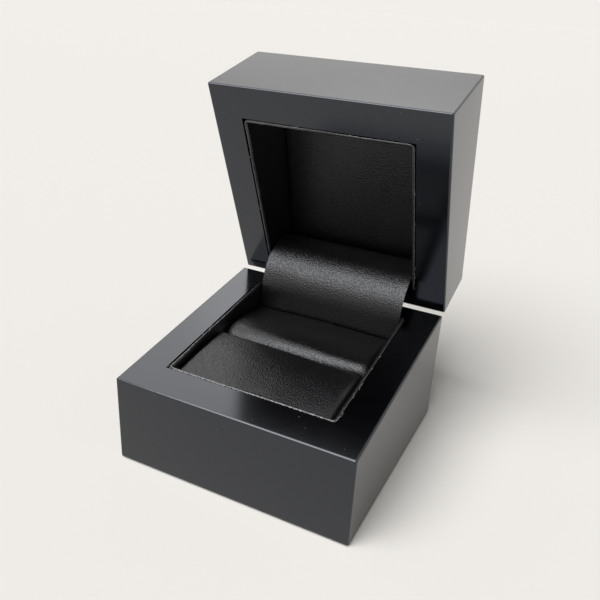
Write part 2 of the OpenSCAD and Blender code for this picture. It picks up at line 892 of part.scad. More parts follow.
module ceiling_plan() {
    rounded_plan(
        [ceiling_fit - lined_x, lined_front + ceiling_fit],
        [lined_x - ceiling_fit, cavity_rear - glue_gap - ceiling_fit],
        ceiling_corner_r);
}

module ceiling_card() {
    color(grey_card)
        swing_open()
            translate([0, 0, lid_top_z - ceiling_card_t])
                linear_extrude(ceiling_card_t)
                    ceiling_plan();
}

module lid_ceiling() {
    color(leatherette)
        swing_open()
            translate([0, 0, ceiling_z])
                linear_extrude(ceiling_t)
                    ceiling_plan();
}

module lid_screws() {
    color(nickel)
        swing_open()
            screw_pair(screw_high)
                driven_screw();
}

base_shell();
base_floor();
base_felt();
base_liner_card();
base_liner();
cushion_riser();
cushion_board();
cushion_front();
cushion_rear();
hinge_base_leaf();
hinge_pin();
hinge_spring();
hinge_rivets();
base_screws();
hinge_strip();
lid_shell();
lid_liner_card();
lid_liner();
ceiling_card();
lid_ceiling();
hinge_lid_leaf();
lid_screws();
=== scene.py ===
"""Ring display box: lacquered base and lid on a snap hinge, leatherette lining and a ring cushion."""

import math

import bmesh
import bpy
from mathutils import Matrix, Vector, noise


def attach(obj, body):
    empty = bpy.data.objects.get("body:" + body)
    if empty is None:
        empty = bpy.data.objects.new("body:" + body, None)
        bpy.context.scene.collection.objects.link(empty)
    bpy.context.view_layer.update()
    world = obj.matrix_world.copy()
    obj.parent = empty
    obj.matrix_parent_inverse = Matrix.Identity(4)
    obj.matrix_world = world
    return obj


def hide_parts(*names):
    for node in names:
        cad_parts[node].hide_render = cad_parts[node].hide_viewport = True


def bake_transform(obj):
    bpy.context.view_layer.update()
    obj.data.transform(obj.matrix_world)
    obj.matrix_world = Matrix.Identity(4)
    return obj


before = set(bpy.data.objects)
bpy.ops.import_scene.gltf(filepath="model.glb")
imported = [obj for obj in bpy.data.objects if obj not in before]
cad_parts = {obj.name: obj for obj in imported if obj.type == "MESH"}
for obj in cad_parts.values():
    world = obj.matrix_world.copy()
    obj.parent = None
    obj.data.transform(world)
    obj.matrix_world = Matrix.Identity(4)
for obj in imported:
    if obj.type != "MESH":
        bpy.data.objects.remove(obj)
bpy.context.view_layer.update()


# Studio
# The box stands on a pale table, under one wide soft light that hangs high on its left and in front.
# Two pale screens behind it show only as reflections in the lacquer. The camera looks down into the
# open box from the right of its front.

BACKDROP = (0.887, 0.863, 0.823)
ROOM_LIGHT = 0.16
TABLE_SIZE = 8.0
TABLE_ROUGHNESS = 0.9
TABLE_SHINE = 0.1
CAMERA_LENS = 40.697
CAMERA_PLACE = (0.07971, -0.16455, 0.13348)
CAMERA_TURNS = (64.997, -2.996, 26.471)
# For each light: its name, the way to it, its strength, how many degrees wide it looks, and whether
# it lights matt surfaces too.
LIGHTS = (("soft_light", (-0.22, -0.52, 0.83), 3.1, 50, True),
          ("high_screen", (-0.24, 0.42, 0.875), 0.9, 54, False),
          ("low_screen", (-0.15, 0.82, 0.55), 0.25, 50, False))


class Wire:
    """One output of a shader node. Sums written with wires become Math nodes in its own tree."""

    def __init__(self, tree, socket=None):
        self.tree = tree
        self.socket = socket

    def node(self, kind, settings, inputs, output=0):
        """Adds a node, sets it up, fills its inputs with values or wires, and gives one output."""
        made = self.tree.nodes.new(kind)
        for name, value in settings.items():
            setattr(made, name, value)
        for name, value in inputs.items():
            if isinstance(value, Wire):
                self.tree.links.new(value.socket, made.inputs[name])
            else:
                made.inputs[name].default_value = value
        return Wire(self.tree, made.outputs[output])

    def into(self, node, name):
        self.tree.links.new(self.socket, node.inputs[name])

    def maths(self, operation, first, second=0.0):
        return self.node("ShaderNodeMath", {"operation": operation}, {0: first, 1: second})

    def mix(self, first, second):
        """The first colour where this wire is 0, and the second where it is 1."""
        colours = {6: (*first, 1) if isinstance(first, tuple) else first,
                   7: (*second, 1) if isinstance(second, tuple) else second}
        return self.node("ShaderNodeMix", {"data_type": "RGBA"}, {0: self, **colours}, 2)

    def between(self, low, high):
        """Rises smoothly from 0 at the low value to 1 at the high one."""
        settings = {"interpolation_type": "SMOOTHSTEP"}
        return self.node("ShaderNodeMapRange", settings, {0: self, 1: low, 2: high})

    def __add__(self, other):
        return self.maths("ADD", self, other)

    def __radd__(self, other):
        return self.maths("ADD", other, self)

    def __sub__(self, other):
        return self.maths("SUBTRACT", self, other)

    def __rsub__(self, other):
        return self.maths("SUBTRACT", other, self)

    def __mul__(self, other):
        return self.maths("MULTIPLY", self, other)

    def __rmul__(self, other):
        return self.maths("MULTIPLY", other, self)


camera_data = bpy.data.cameras.new("camera")
camera_data.sensor_width = 36
camera_data.lens = CAMERA_LENS
camera_data.clip_start = 0.01
camera = bpy.data.objects.new("camera", camera_data)
camera.location = CAMERA_PLACE
camera.rotation_euler = [math.radians(turn) for turn in CAMERA_TURNS]
bpy.context.scene.collection.objects.link(camera)
bpy.context.scene.camera = camera
bpy.context.scene.view_settings.view_transform = "Standard"

world = bpy.data.worlds.new("room")
world.use_nodes = True
bpy.context.scene.world = world
room = Wire(world.node_tree)
rays = [room.node("ShaderNodeLightPath", {}, {}, f"Is {kind} Ray")
        for kind in ("Camera", "Glossy", "Transmission")]
seen = room.maths("MAXIMUM", room.maths("MAXIMUM", rays[0], rays[1]), rays[2])
background = world.node_tree.nodes["Background"]
seen.mix((ROOM_LIGHT,) * 3, BACKDROP).into(background, "Color")

table_mesh = bpy.data.meshes.new("table")
half = TABLE_SIZE / 2
table_mesh.from_pydata([(-half, -half, 0), (half, -half, 0), (half, half, 0), (-half, half, 0)],
                       [], [(0, 1, 2, 3)])
table = bpy.data.objects.new("table", table_mesh)
bpy.context.scene.collection.objects.link(table)
table_finish = bpy.data.materials.new("table_top")
table_finish.use_nodes = True
table_shader = table_finish.node_tree.nodes["Principled BSDF"]
table_shader.inputs["Base Color"].default_value = (*BACKDROP, 1)
table_shader.inputs["Roughness"].default_value = TABLE_ROUGHNESS
table_shader.inputs["Specular IOR Level"].default_value = TABLE_SHINE
table_mesh.materials.append(table_finish)

for name, towards, strength, width, lights_all in LIGHTS:
    light = bpy.data.lights.new(name, "SUN")
    light.energy = strength
    light.angle = math.radians(width)
    lamp = bpy.data.objects.new(name, light)
    lamp.rotation_euler = Vector(towards).to_track_quat("Z", "Y").to_euler()
    lamp.visible_diffuse = lights_all
    bpy.context.scene.collection.objects.link(lamp)


# Lacquered walls
# Base and lid are mitred wooden frames, glued, sanded round at the edges and sprayed with several
# coats of black satin lacquer, which dried with a faint ripple and a few specks of dust.

MM = 0.001
LACQUER_BLACK = (0.0006, 0.0006, 0.0009)
LACQUER_DUST = (0.22, 0.22, 0.22)
LACQUER_TINT = (0.85, 0.90, 1.0, 1.0)
LACQUER_IOR = 1.65
LACQUER_ROUGHNESS = 0.145
DUSTY_ROUGHNESS = 0.3
SPECKS_PER_MM = 0.35
SPECK_EDGE = (0.03, 0.05)
DUSTY_PLACES = (0.48, 0.56)
RIPPLE_SIZE = 1.6
RIPPLE_DEPTH = 0.002
WELD_NEAR = 2e-6


def new_finish(name, slot, constants):
    """A Principled finish: its material, its shader and a wire with the place on the object in mm."""
    material = bpy.data.materials.new(name)
    material.use_nodes = True
    material["slot"] = slot
    shader = material.node_tree.nodes["Principled BSDF"]
    for socket, value in constants.items():
        shader.inputs[socket].default_value = value
    place = Wire(material.node_tree).node("ShaderNodeTexCoord", {}, {}, "Object")
    in_mm = place.node("ShaderNodeVectorMath", {"operation": "SCALE"}, {0: place, "Scale": 1 / MM})
    return material, shader, in_mm


def clouds(place, size, detail=2.0):
    """Soft noise from 0 to 1 whose blotches are about size mm across."""
    inputs = {"Vector": place, "Scale": 1 / size, "Detail": detail}
    return place.node("ShaderNodeTexNoise", {}, inputs, "Fac")


def raise_bumps(shader, height, depth_mm):
    """Lets a height from 0 to 1 shape the surface, over a depth in mm."""
    inputs = {"Height": height, "Distance": depth_mm * MM, "Strength": 1.0}
    height.node("ShaderNodeBump", {}, inputs).into(shader, "Normal")


def dress(node, finish):
    """Gives a CAD node its finish, and welds together the points where its faces meet."""
    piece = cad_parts[node]
    piece.data.materials.clear()
    piece.data.materials.append(finish)
    weld = piece.modifiers.new("weld", "WELD")
    weld.merge_threshold = WELD_NEAR


lacquer, shader, place = new_finish(
    "lacquer", "lacquer", {"IOR": LACQUER_IOR, "Specular Tint": LACQUER_TINT})
ripple = clouds(place, RIPPLE_SIZE, 1.0)
specks = place.node("ShaderNodeTexVoronoi", {}, {"Vector": place, "Scale": SPECKS_PER_MM}, "Distance")
dust = (1 - specks.between(*SPECK_EDGE)) * clouds(place, 12.0).between(*DUSTY_PLACES)
dust.mix(LACQUER_BLACK, LACQUER_DUST).into(shader, "Base Color")
(clouds(place, 6.0) * 0.04 + LACQUER_ROUGHNESS + dust * DUSTY_ROUGHNESS).into(shader, "Roughness")
raise_bumps(shader, ripple, RIPPLE_DEPTH)
for node in ("base_shell", "lid_shell"):
    dress(node, lacquer)


# Floor board
# A thin raw board is glued into a rebate under the base's walls, and closes the base. It lies
# between the felt and the riser, so its grain never shows in use.

BOARD_PALE = (0.42, 0.32, 0.21)
BOARD_DARK = (0.30, 0.21, 0.13)
BOARD_STRETCH = (0.12, 1, 1)
FIBRE_SIZE = 0.5
FIBRE_DEPTH = 0.03


def stretched(place, shares):
    """The place with each of its measures multiplied, which draws a pattern out into lines."""
    return place.node("ShaderNodeVectorMath", {"operation": "MULTIPLY"}, {0: place, 1: shares})


board, shader, place = new_finish("raw_board", "board", {"Specular IOR Level": 0.3})
fibres = clouds(stretched(place, BOARD_STRETCH), FIBRE_SIZE, 4.0)
fibres.mix(BOARD_DARK, BOARD_PALE).into(shader, "Base Color")
(fibres * 0.15 + 0.7).into(shader, "Roughness")
raise_bumps(shader, fibres, FIBRE_DEPTH)
dress("base_floor", board)


# Felt
# A sheet of black felt is glued into a shallow recess under the base, and stands a little proud
# of it, so that the box stands on felt. Its fibres lie in all directions.

FELT_BLACK = (0.012, 0.012, 0.013)
FELT_LINT = (0.045, 0.045, 0.047)
FELT_HALF_X = 34.5
FELT_HALF_Y = 33.0
FELT_THICK = 0.8
FELT_CORNER = 3.0
FELT_EDGE = 0.25
FELT_WAVES = 0.06
FELT_WAVE_SIZE = 3.0
LINT_SIZE = 0.18
TUFT_SIZE = 1.4
FUZZ_DEPTH = 0.12


def rounded_ring(half_x, half_y, rear_r, front_r, corner_points=7, side_points=36):
    """Points round a rectangle with round corners, anticlockwise, with more along its sides."""
    bends = []
    for quarter, (sx, sy) in enumerate(((1, 1), (-1, 1), (-1, -1), (1, -1))):
        corner = rear_r if sy == 1 else front_r
        centre = Vector((sx * (half_x - corner), sy * (half_y - corner)))
        angles = [math.radians(90 * (quarter + k / (corner_points - 1))) for k in range(corner_points)]
        bends.append([centre + corner * Vector((math.cos(a), math.sin(a))) for a in angles])
    ring = []
    for bend, following in zip(bends, bends[1:] + bends[:1]):
        ring += bend
        ring += [bend[-1].lerp(following[0], k / side_points) for k in range(1, side_points)]
    return ring


def lofted(rings):
    """Points and faces of a closed form through rings of points, capped with one face at each end."""
    count = len(rings[0])
    points = [point for ring in rings for point in ring]
    faces = [tuple(range(count)), tuple(range((len(rings) - 1) * count, len(rings) * count))]
    for low in range(0, (len(rings) - 1) * count, count):
        for k in range(count):
            following = (k + 1) % count
            faces.append((low + k, low + following, low + count + following, low + count + k))
    return points, faces


def new_piece(name, body, finish, points, faces, sharp=40):
    """Makes a piece from points in mm, with its faces turned outwards and its sharp edges kept."""
    mesh = bpy.data.meshes.new(name)
    mesh.from_pydata([Vector(point) * MM for point in points], [], faces)
    shaped = bmesh.new()
    shaped.from_mesh(mesh)
    bmesh.ops.recalc_face_normals(shaped, faces=shaped.faces)
    shaped.to_mesh(mesh)
    shaped.free()
    mesh.polygons.foreach_set("use_smooth", [True] * len(mesh.polygons))
    mesh.set_sharp_from_angle(angle=math.radians(sharp))
    mesh.materials.append(finish)
    piece = bpy.data.objects.new(name, mesh)
    bpy.context.scene.collection.objects.link(piece)
    if body:
        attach(piece, body)
    return piece


def slab_rings(half_x, half_y, corner, thick, edge, waves, wave_size):
    """Rings of a soft-edged slab from the middle of its underside, over its edge, to its top. Low
    waves draw both of its faces in a little."""
    whole = rounded_ring(half_x, half_y, corner, corner)
    sheet = [[(p.x * share, p.y * share, 0) for p in whole] for share in (0.02, 0.2, 0.4, 0.6, 0.8, 0.93)]
    for angle in (math.radians(30 * k) for k in range(4)):
        inset = edge * (1 - math.sin(angle))
        tight = max(corner - inset, 0.1)
        ring = rounded_ring(half_x - inset, half_y - inset, tight, tight)
        sheet.append([(p.x, p.y, edge * (1 - math.cos(angle))) for p in ring])
    faces = []
    for seed in (0, 40):
        face = []
        for ring in sheet:
            heights = [rise + waves * (1 + noise.noise(Vector((x, y, seed)) / wave_size)) / 2
                       for x, y, rise in ring]
            face.append([(x, y, thick - height if seed else height)
                         for (x, y, _), height in zip(ring, heights)])
        faces.append(face)
    under, over = faces
    return under + over[::-1]


felt, shader, place = new_finish("felt", "felt", {
    "Specular IOR Level": 0.2, "Sheen Weight": 0.35, "Sheen Roughness": 0.5})
lint = clouds(place, LINT_SIZE, 5.0)
tufts = clouds(place, TUFT_SIZE, 3.0)
(lint * 0.7 + tufts * 0.3).between(0.35, 0.75).mix(FELT_BLACK, FELT_LINT).into(shader, "Base Color")
(lint * 0.1 + 0.88).into(shader, "Roughness")
raise_bumps(shader, lint * 0.6 + tufts * 0.4, FUZZ_DEPTH)
felt_rings = slab_rings(FELT_HALF_X, FELT_HALF_Y, FELT_CORNER, FELT_THICK, FELT_EDGE, FELT_WAVES,
                        FELT_WAVE_SIZE)
felt_sheet = new_piece("felt_sheet", "base", felt, *lofted(felt_rings))
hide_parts("base_felt")


# Lining
# Each liner is a strip of grey card, folded to the cavity and wrapped in black leatherette. The
# leatherette is turned over the card's edge, which makes the fat rolled edge beside the wood.

LEATHER_BLACK = (0.001, 0.001, 0.0014)
LEATHER_WORN = (0.004, 0.004, 0.005)
# Paler leather colour that paints the highlight along the rolled edge's ridge.
LEATHER_RIDGE_HIGHLIGHT = (0.014, 0.014, 0.015)
LEATHER_TINT = (0.94, 0.96, 1.0, 1.0)
LEATHER_IOR = 1.52
STRETCHED_IOR = 1.75
PEBBLES_PER_MM = 2.0
PEBBLE_DEPTH = 0.075
RIDGE_BAND = (-0.55, -0.25)
CARD_PALE = (0.30, 0.29, 0.27)
CARD_DARK = (0.17, 0.165, 0.15)
PULP_SIZE = 0.4
PULP_DEPTH = 0.02
CAVITY_X = 27.5
CAVITY_FRONT = -25.6
CAVITY_REAR = 28.8
GLUE = 0.1
LINER_THICK = 1.3
SKIN = 0.35
TURN_IN = 4.0
ROLL_HIGH = 0.55
ROLL_IN = 0.65
ROLL_OUT = 0.4
LINER_CORNER = 1.8
SIDE_STEPS = 70
CORNER_STEPS = 8
FRONT_STEPS = 34
FACE_STEPS = 12
ROLL_STEPS = 16
PUCKER_SIZE = 2.2
PUCKER_HIGH = 0.05
SLACK_SIZE = 10
SLACK_HIGH = 0.14
FLOOR_TOP = 4.8
LID_TOP = 55.0
BOX_FRONT = -36.0
BOX_DEPTH = 72.0
RIM_FRONT = 28.0
RIM_RISE = 10.0
RIM_SLOPE = RIM_RISE / BOX_DEPTH
CLOSING_GAP = 0.1
PIVOT_Y = 37.0
PIVOT_Z = 36.5
OPEN_ANGLE = math.radians(76.5)


def rim_level(y):
    """The height of the slanted plane where base and lid part."""
    return RIM_FRONT + (y - BOX_FRONT) * RIM_SLOPE


def opened(point):
    """Swings a point of the shut lid about the hinge pin to where it lies in the open lid."""
    x, y, z = point
    back, up = y - PIVOT_Y, z - PIVOT_Z
    cos, sin = math.cos(OPEN_ANGLE), math.sin(OPEN_ANGLE)
    return (x, PIVOT_Y + cos * back + sin * up, PIVOT_Z + cos * up - sin * back)


def liner_stations():
    """Places along the middle of a liner, from its left rear end round the front to its right rear
    end, each with the direction towards the wood."""
    side = CAVITY_X - GLUE - LINER_THICK / 2
    front = CAVITY_FRONT + GLUE + LINER_THICK / 2
    bend = LINER_CORNER - LINER_THICK / 2
    rear = CAVITY_REAR - GLUE
    straight = [(Vector((-side, rear + (front + bend - rear) * k / SIDE_STEPS)), Vector((-1, 0)))
                for k in range(SIDE_STEPS)]
    corner = [(Vector((bend - side, front + bend)) + bend * out, out) for out in
              (Vector((-math.cos(a), -math.sin(a))) for a in
               (math.radians(90 * k / CORNER_STEPS) for k in range(CORNER_STEPS + 1)))]
    across = [(Vector((bend - side + (side - bend) * k / FRONT_STEPS, front)), Vector((0, -1)))
              for k in range(1, FRONT_STEPS + 1)]
    left = straight + corner + across
    right = [(Vector((-p.x, p.y)), Vector((-out.x, out.y))) for p, out in left[:-1]]
    return left + right[::-1]


def liner_section():
    """A liner's skin in section: how far inwards, how far below the mating plane, and how far
    down the wall each point lies. It goes up the face, over the roll, whose ridge is near the
    wood, and down behind the card."""
    half = LINER_THICK / 2
    turned = ROLL_HIGH + TURN_IN
    over_card = ROLL_HIGH + GLUE
    face = [(half, ROLL_HIGH, 1 - k / FACE_STEPS) for k in range(FACE_STEPS)]
    roll = []
    for k in range(ROLL_STEPS + 1):
        angle = math.radians(180 * k / ROLL_STEPS)
        reach = ROLL_IN if k < ROLL_STEPS / 2 else ROLL_OUT
        roll.append((reach * math.cos(angle), ROLL_HIGH - ROLL_HIGH * math.sin(angle), 0))
    behind = [(-half, turned, 0), (SKIN - half, turned, 0), (SKIN - half, over_card, 0),
              (half - SKIN, over_card, 0), (half - SKIN, ROLL_HIGH, 1)]
    return face + roll + behind


def wander(x, y, z, size, high):
    """Smooth unevenness in all three directions, with blotches about size mm across. Each direction
    takes its noise from a place of its own."""
    place = Vector((x, y, z)) / size
    shifts = (Vector((9.3, -1.5, -8.0)), Vector((0, 0, 0)), Vector((6.3, 0.2, -2.7)))
    return Vector([noise.noise(place + shift) for shift in shifts]) * high


def liner(name, body, finish, lid):
    """Sweeps the section along the stations, puckered a little and slack in places, except at the
    liner's two ends and at its foot."""
    rings = []
    stations = liner_stations()
    pucker_seed = 100 if lid else 0
    for number, (place, out) in enumerate(stations):
        ring = []
        for inwards, below, down in liner_section():
            x = place.x - out.x * inwards
            y = place.y - out.y * inwards
            level = rim_level(y) + (CLOSING_GAP if lid else 0)
            z = level + below if lid else level - below
            z += ((LID_TOP if lid else FLOOR_TOP) - z) * down
            uneven = wander(x, y, z + pucker_seed, PUCKER_SIZE, PUCKER_HIGH)
            uneven += wander(x, y, z + 200, SLACK_SIZE, SLACK_HIGH)
            if down == 1 or number in (0, len(stations) - 1):
                uneven = Vector((0, 0, 0))
            point = (x + uneven.x, y + uneven.y, z + uneven.z * 0.5)
            ring.append(opened(point) if lid else point)
        rings.append(ring)
    return new_piece(name, body, finish, *lofted(rings), 50)


card, shader, place = new_finish("grey_card", "card", {"Specular IOR Level": 0.2})
pulp = clouds(place, PULP_SIZE, 6.0)
pulp.between(0.3, 0.7).mix(CARD_DARK, CARD_PALE).into(shader, "Base Color")
(pulp * 0.1 + 0.85).into(shader, "Roughness")
raise_bumps(shader, pulp, PULP_DEPTH)
for node in ("base_liner_card", "lid_liner_card", "ceiling_card", "cushion_board"):
    dress(node, card)


def leather_finish(name, ior, ridge_plane=None):
    """Fine-grained leatherette. Where a plane is given, the leather is smoother next to it, as it is
    where it is stretched over a roll, and is painted paler there as a painted highlight along the
    roll's ridge. The plane is a point on it and the way out of it."""
    finish, shader, place = new_finish(
        name, "leatherette", {"IOR": ior, "Specular Tint": LEATHER_TINT})
    pebbles = place.node("ShaderNodeTexVoronoi", {"feature": "SMOOTH_F1"},
                         {"Vector": place, "Scale": PEBBLES_PER_MM, "Smoothness": 0.15}, "Distance")
    grain = 1 - pebbles.between(0.05, 0.7)
    creases = clouds(place, 0.9, 2.0)
    scuffs = clouds(place, 4.0, 4.0).between(0.45, 0.8)
    colour = (scuffs * 0.5 + grain * 0.2).mix(LEATHER_BLACK, LEATHER_WORN)
    roughness = 0.34 - grain * 0.06 + scuffs * 0.04
    if ridge_plane:
        on_plane, out = ridge_plane
        height = place.node("ShaderNodeVectorMath", {"operation": "DOT_PRODUCT"},
                            {0: place, 1: tuple(out)}, "Value") - out.dot(on_plane)
        # The paler colour along the roll's ridge is a painted highlight; the smoother leather there is
        # real.
        ridge_highlight_and_smooth = height.between(*RIDGE_BAND)
        colour = ridge_highlight_and_smooth.mix(colour, LEATHER_RIDGE_HIGHLIGHT)
        roughness = roughness - ridge_highlight_and_smooth * 0.16
    colour.into(shader, "Base Color")
    roughness.into(shader, "Roughness")
    raise_bumps(shader, grain * 0.8 + creases * 0.2, PEBBLE_DEPTH)
    return finish


leather = leather_finish("leatherette", LEATHER_IOR)
# Both lining leathers carry a painted highlight along the ridge of their rolled edge.
out_of_base = Vector((0, -RIM_SLOPE, 1)).normalized()
base_edge = Vector((0, BOX_FRONT, RIM_FRONT))
base_leather = leather_finish("base_lining_leather", STRETCHED_IOR, (base_edge, out_of_base))
shut_edge = Vector((0, BOX_FRONT, RIM_FRONT + CLOSING_GAP))
lid_edge = Vector(opened(shut_edge))
out_of_lid = Vector(opened(shut_edge - out_of_base)) - lid_edge
lid_leather = leather_finish("lid_lining_leather", STRETCHED_IOR, (lid_edge, out_of_lid))
base_lining = liner("base_lining", "base", base_leather, False)
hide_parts("base_liner")
lid_lining = liner("lid_lining", "lid", lid_leather, True)
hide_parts("lid_liner")


# Backing threads
# The leatherette is trimmed roughly behind the roll, and pale threads of its cloth backing stand
# out of the groove beside the wood, most of them at the front corners and along the right side.

THREAD_PALE = (0.50, 0.49, 0.46)
THREAD_DULL = (0.26, 0.25, 0.24)
THREAD_R = 0.05
THREAD_STEPS = 5
THREAD_CURL = 40
THREAD_ARCH = 0.22
THREAD_SUNK = 0.2
TWIST_SIZE = 0.25
TWIST_DEPTH = 0.02
# For each thread: where its middle is, which way it lies in degrees, and its length.
BASE_THREADS = ((-27.2, -24.7, 60, 1.2), (-26.4, -25.3, 150, 1.4), (-24.7, -25.3, 10, 1.0),
                (-22.8, -25.35, 170, 1.3), (-20.6, -25.3, 25, 0.9), (-17.0, -25.3, 175, 0.7),
                (-27.2, -6.6, 80, 1.2), (-27.1, -3.0, 105, 1.5), (-27.25, -1.6, 70, 0.8),
                (25.0, -25.3, 165, 0.9), (26.3, -25.2, 20, 1.1), (27.0, -24.2, 50, 0.9),
                (27.1, -22.8, 75, 1.4), (27.2, -21.2, 115, 1.0), (27.2, -13.6, 85, 1.3),
                (27.2, -9.4, 95, 1.6), (27.25, -7.6, 60, 0.9), (27.2, 0.2, 100, 1.0),
                (27.2, 6.4, 80, 0.9))
LID_THREADS = ((27.1, 25.6, 85, 1.3), (27.2, 23.6, 105, 0.9), (27.05, 22.0, 70, 1.1),
               (27.2, 19.6, 95, 0.9), (27.1, 12.2, 80, 1.0), (27.2, 2.0, 100, 0.7),
               (27.1, -9.0, 85, 0.9), (8.0, -25.3, 10, 0.8), (-9.0, -25.35, 170, 1.0),
               (-27.2, -12.0, 95, 0.8), (-27.15, 8.0, 80, 0.9))


def threads(name, body, places, lid):
    """Short curled threads that rise out of the groove in the middle and sink into it at both ends."""
    points = []
    faces = []
    for x, y, heading, length in places:
        rings = []
        for k in range(THREAD_STEPS + 1):
            along = length * (k / THREAD_STEPS - 0.5)
            curl = math.radians(heading + THREAD_CURL * noise.noise(Vector((x, y, along))))
            rise = THREAD_ARCH * math.sin(math.pi * k / THREAD_STEPS) - THREAD_SUNK
            ring = []
            for side in range(4):
                across = THREAD_R * math.cos(math.pi * side / 2)
                px = x + along * math.cos(curl) - across * math.sin(curl)
                py = y + along * math.sin(curl) + across * math.cos(curl)
                lift = rise + THREAD_R * math.sin(math.pi * side / 2)
                level = rim_level(py) + (CLOSING_GAP - lift if lid else lift)
                ring.append(opened((px, py, level)) if lid else (px, py, level))
            rings.append(ring)
        thread_points, thread_faces = lofted(rings)
        faces += [tuple(corner + len(points) for corner in face) for face in thread_faces]
        points += thread_points
    new_piece(name, body, thread, points, faces)


thread, shader, place = new_finish("backing_thread", "card", {"Specular IOR Level": 0.2})
twist = clouds(place, TWIST_SIZE, 3.0)
twist.between(0.3, 0.7).mix(THREAD_DULL, THREAD_PALE).into(shader, "Base Color")
(twist * 0.1 + 0.8).into(shader, "Roughness")
raise_bumps(shader, twist, TWIST_DEPTH)
threads("base_threads", "base", BASE_THREADS, False)
threads("lid_threads", "lid", LID_THREADS, True)


# Riser
# A block of stiff pale foam is cut to fill the base, and glued to the floor board. It carries the
# cushion's board at the height at which the pads stand in the opening.

FOAM_PALE = (0.62, 0.62, 0.58)
FOAM_CELL = (0.34, 0.34, 0.31)
CUSHION_X = 25.6
CUSHION_FRONT = -23.7
CUSHION_REAR = 27.6
CUSHION_BASE = 20.4417
BOARD_THICK = 1.2
CELLS_PER_MM = 2.2
CELL_DEPTH = 0.1
RISER_CORNER = 0.4
RISER_EDGE = 0.3
RISER_WAVES = 0.04
RISER_WAVE_SIZE = 2.0

foam, shader, place = new_finish("foam", "foam", {"Specular IOR Level": 0.2})
cells = place.node("ShaderNodeTexVoronoi", {}, {"Vector": place, "Scale": CELLS_PER_MM}, "Distance")
cells.between(0.05, 0.5).mix(FOAM_CELL, FOAM_PALE).into(shader, "Base Color")
(cells * 0.1 + 0.85).into(shader, "Roughness")
raise_bumps(shader, cells, CELL_DEPTH)
riser_top = CUSHION_BASE - BOARD_THICK
rings = slab_rings(CUSHION_X - GLUE, (CUSHION_REAR - CUSHION_FRONT) / 2 - GLUE, RISER_CORNER,
                   riser_top - FLOOR_TOP - GLUE, RISER_EDGE, RISER_WAVES, RISER_WAVE_SIZE)
middle = (CUSHION_REAR + CUSHION_FRONT) / 2
rings = [[(x, y + middle, z + FLOOR_TOP + GLUE / 2) for x, y, z in ring] for ring in rings]
riser = new_piece("riser", "base", foam, *lofted(rings))
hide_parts("cushion_riser")


# Ring cushion
# Two foam pads wrapped in leatherette sit side by side on a board. A ring is pushed down between
# them. The rear pad is rounded like a roll at the slot, and the front pad is flatter.

SLOT_Y = 2.0
SLOT_GAP = 0.3
FRONT_HIGH = 9.0
REAR_HIGH = 9.8
PAD_EDGE = 0.8
PAD_LEFT_R = 1.2
PAD_RIGHT_R = 3.4
PAD_CORNER = 1.6
SLOT_CORNER = 0.5
SLOT_BOW = 0.6
PAD_PROUD = 1.4
PAD_CROWN = 0.6
PAD_FALL = 2.7
PAD_DRAW = 0.3
FRONT_SLOT_R = (1.2, 3.2)
REAR_SLOT_R = (6.5, 3.2)
FRONT_SAG = (0.1, 1.0)
REAR_SAG = (1.6, 0.2)
SAG_REACH = 11.0
HOLLOW_SIZE = 9
HOLLOW_DEEP = 0.16
DIMPLE_SIZE = 3
DIMPLE_DEEP = 0.05
PAD_STEPS = 20
# How many points an outline of a pad has round each corner, and along each side.
PAD_POINTS = (9, 44)


def edge_drop(distance, radius):
    """How far a rounded edge lies below the flat that it ends, at a distance in from its side."""
    if distance >= radius:
        return 0.0
    return radius - math.sqrt(max(0.0, radius ** 2 - (radius - distance) ** 2))


def pad(name, slot_y, far_y, height, slot_r, sag, seed):
    """A crowned pad that falls away from the slot towards its far edge. Its rounding at the slot and
    its sag beside it are each given at the left end and at the right end."""
    centre = (slot_y + far_y) / 2
    way = 1 if far_y > slot_y else -1
    length = abs(far_y - slot_y)
    rear_corner, front_corner = (PAD_CORNER, SLOT_CORNER) if way == 1 else (SLOT_CORNER, PAD_CORNER)

    def from_slot(p):
        return length / 2 + way * p.y

    def place_of(p):
        x = p.x * (1 - PAD_DRAW / CUSHION_X * (1 - (2 * p.y / length) ** 2))
        bow = SLOT_BOW * (1 - (p.x / CUSHION_X) ** 2) * (1 - from_slot(p) / length)
        return x, centre + p.y - bow

    def level(p):
        rightward = 0.5 + p.x / (2 * CUSHION_X)
        rounding = slot_r[0] + (slot_r[1] - slot_r[0]) * rightward
        sagging = sag[0] + (sag[1] - sag[0]) * rightward
        fall = PAD_CROWN * (p.x / CUSHION_X) ** 2 + PAD_FALL * (from_slot(p) / length) ** 2
        fall += sagging * max(0, 1 - from_slot(p) / SAG_REACH) ** 2
        soft = Vector((p.x, p.y, seed))
        give = HOLLOW_DEEP * noise.noise(soft / HOLLOW_SIZE)
        give += DIMPLE_DEEP * noise.noise(soft / DIMPLE_SIZE)
        return (CUSHION_BASE + height + PAD_PROUD - fall + give * min(1, (CUSHION_X - abs(p.x)) / 3)
                - edge_drop(CUSHION_X + p.x, PAD_LEFT_R) - edge_drop(CUSHION_X - p.x, PAD_RIGHT_R)
                - edge_drop(from_slot(p), rounding) - edge_drop(length - from_slot(p), PAD_EDGE))

    outer = rounded_ring(CUSHION_X, length / 2, rear_corner, front_corner, *PAD_POINTS)
    rings = [[(*place_of(p), CUSHION_BASE) for p in outer]]
    for k in range(PAD_STEPS + 1):
        inset = max(slot_r) * (k / PAD_STEPS) ** 2
        ring = rounded_ring(CUSHION_X - inset, length / 2 - inset, max(rear_corner - inset, 0.3),
                            max(front_corner - inset, 0.3), *PAD_POINTS)
        rings.append([(*place_of(p), level(p)) for p in ring])
    for share in (0.85, 0.7, 0.55, 0.4, 0.25, 0.1, 0.01):
        rings.append([(*place_of(p * share), level(p * share)) for p in ring])
    piece = new_piece(name, "base", leather, *lofted(rings), 60)
    return piece


